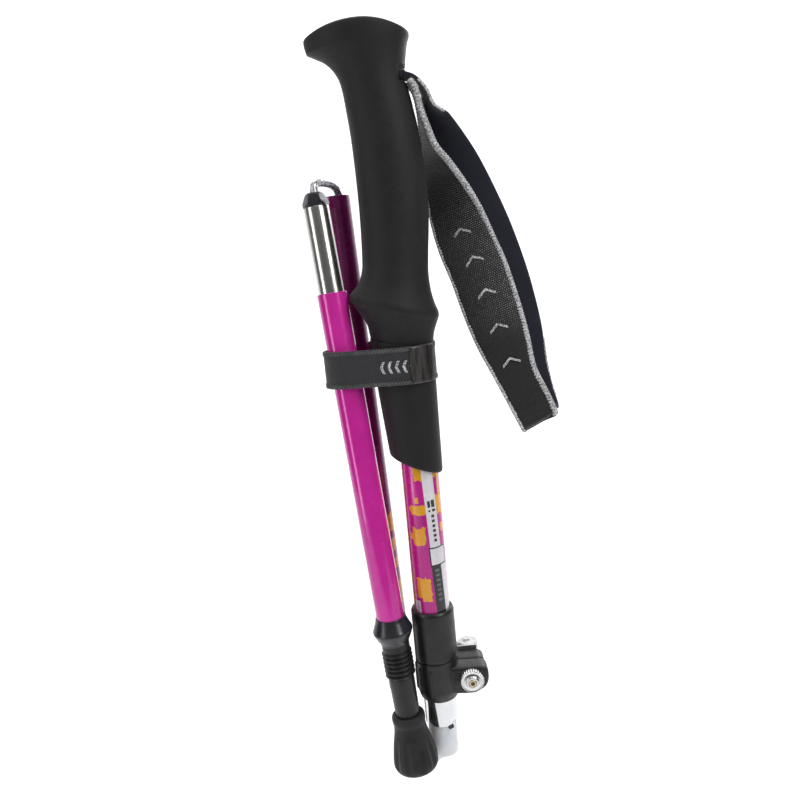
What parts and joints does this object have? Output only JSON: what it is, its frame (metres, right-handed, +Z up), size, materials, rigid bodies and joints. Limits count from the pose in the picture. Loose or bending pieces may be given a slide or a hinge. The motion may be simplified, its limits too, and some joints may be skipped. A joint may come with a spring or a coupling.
{
  "type": "trekking pole",
  "caption": "Folding three-section trekking pole, bundled, with foam grip, wrist strap, lever clamp, cable-linked sections and rubber foot",
  "frame": {"origin": "on the handle tube's axis at the middle of the grip", "axes": "+Z up along the handle tube to the grip's head; -X to the grip's beak; +X to the wrist strap's slot; the pole is stored folded"},
  "size_m": [0.1133, 0.0505, 0.3794],
  "materials": {
    "eva_foam": "matte foam",
    "black_plastic": "satin",
    "steel": "brushed",
    "chrome": "mirror",
    "painted_upper": "gloss, printed",
    "painted_middle": "gloss, printed",
    "painted_tip": "gloss",
    "aluminium": "satin",
    "white_nylon": "satin",
    "cable": "clear coated steel cable",
    "lever_grey": "satin",
    "webbing": "woven",
    "pad_mesh": "mesh",
    "hook_loop": "woven",
    "foot_rubber": "matte",
    "carbide": "sintered"
  },
  "bodies": {
    "handle": {"grip_foam": "eva_foam", "grip_core": "black_plastic", "strap_pin": "steel", "strap_anchor": "webbing", "strap_wedge": "black_plastic", "lower_foam": "eva_foam", "upper_tube": "painted_upper", "clamp_collar": "black_plastic", "clamp_bolt": "steel", "lever_pin": "steel", "wear_plate": "steel", "bundle_strap": "hook_loop"},
    "nut": {"clamp_nut": "chrome"},
    "lever": {"clamp_lever": "lever_grey"},
    "wrist": {"strap_webbing": "webbing", "strap_pad": "pad_mesh"},
    "extension": {"extension_tube": "aluminium", "guide_bushing": "black_plastic", "ferrule": "chrome", "socket_sleeve": "white_nylon", "locating_key": "black_plastic", "spring_seat": "aluminium", "tension_spring": "steel"},
    "anchor": {"cable_anchor": "white_nylon", "cable_crimp": "steel", "upper_cable": "cable"},
    "lower_link": {"lower_loop": "cable"},
    "middle": {"mid_tube": "painted_middle", "mid_joint_sleeve": "steel", "mid_joint_cap": "black_plastic", "mid_cable": "cable", "mid_cable_guide": "white_nylon"},
    "upper_link": {"upper_loop": "cable"},
    "tip": {"tip_joint_cap": "black_plastic", "tip_joint_sleeve": "steel", "tip_tube": "painted_tip", "tip_cable": "cable", "tip_crimp": "steel", "tip_ring": "black_plastic", "tip_stem": "black_plastic", "tip_bit": "carbide"},
    "foot": {"rubber_foot": "foot_rubber"}
  },
  "joints": [
    {"name": "length_adjust", "type": "slide", "parent": "handle", "child": "extension", "axis": [0, 0, -1], "range_m": [0, 0.18]},
    {"name": "cable_tension", "type": "slide", "parent": "extension", "child": "anchor", "axis": [0, 0, -1], "range_m": [0, 0.02], "stiffness_N_per_m": 1500, "deforming": ["tension_spring"]},
    {"name": "middle_fold", "type": "hinge", "parent": "extension", "child": "lower_link", "pos_m": [-0.00887, 0.00576, -0.3055], "axis": [-0.5443, -0.8389, 0], "range_deg": [0, 177.56], "deforming": ["lower_loop", "bundle_strap"]},
    {"name": "middle_engage", "type": "slide", "parent": "lower_link", "child": "middle", "axis": [0.0357, -0.0232, -0.9991], "range_m": [0, 0.0693]},
    {"name": "tip_fold", "type": "hinge", "parent": "middle", "child": "upper_link", "pos_m": [-0.0332, 0.01052, 0.00574], "axis": [-0.8833, 0.4641, -0.067], "range_deg": [0, 179.7], "deforming": ["upper_loop"]},
    {"name": "tip_engage", "type": "slide", "parent": "upper_link", "child": "tip", "axis": [-0.0767, 0.0507, 0.9958], "range_m": [0, 0.05341]},
    {"name": "foot_pull", "type": "slide", "parent": "tip", "child": "foot", "axis": [0.0767, -0.0507, -0.9958], "range_m": [0, 0.045]},
    {"name": "lever", "type": "hinge", "parent": "handle", "child": "lever", "pos_m": [0.0166, 0.0146, -0.242], "axis": [0, 0, -1], "range_deg": [0, 115]},
    {"name": "nut_turn", "type": "hinge", "parent": "handle", "child": "nut", "pos_m": [0.0166, -0.011, -0.242], "axis": [0, 1, 0], "continuous": true},
    {"name": "strap_swing", "type": "hinge", "parent": "handle", "child": "wrist", "pos_m": [0.013, 0, 0.0485], "axis": [0, -1, 0], "range_deg": [0, 70]}
  ],
  "couplings": [
    {"joint": "tip_fold", "follows": "middle_fold", "ratio": 1.012},
    {"joint": "tip_engage", "follows": "middle_engage", "ratio": 0.77056}
  ]
}
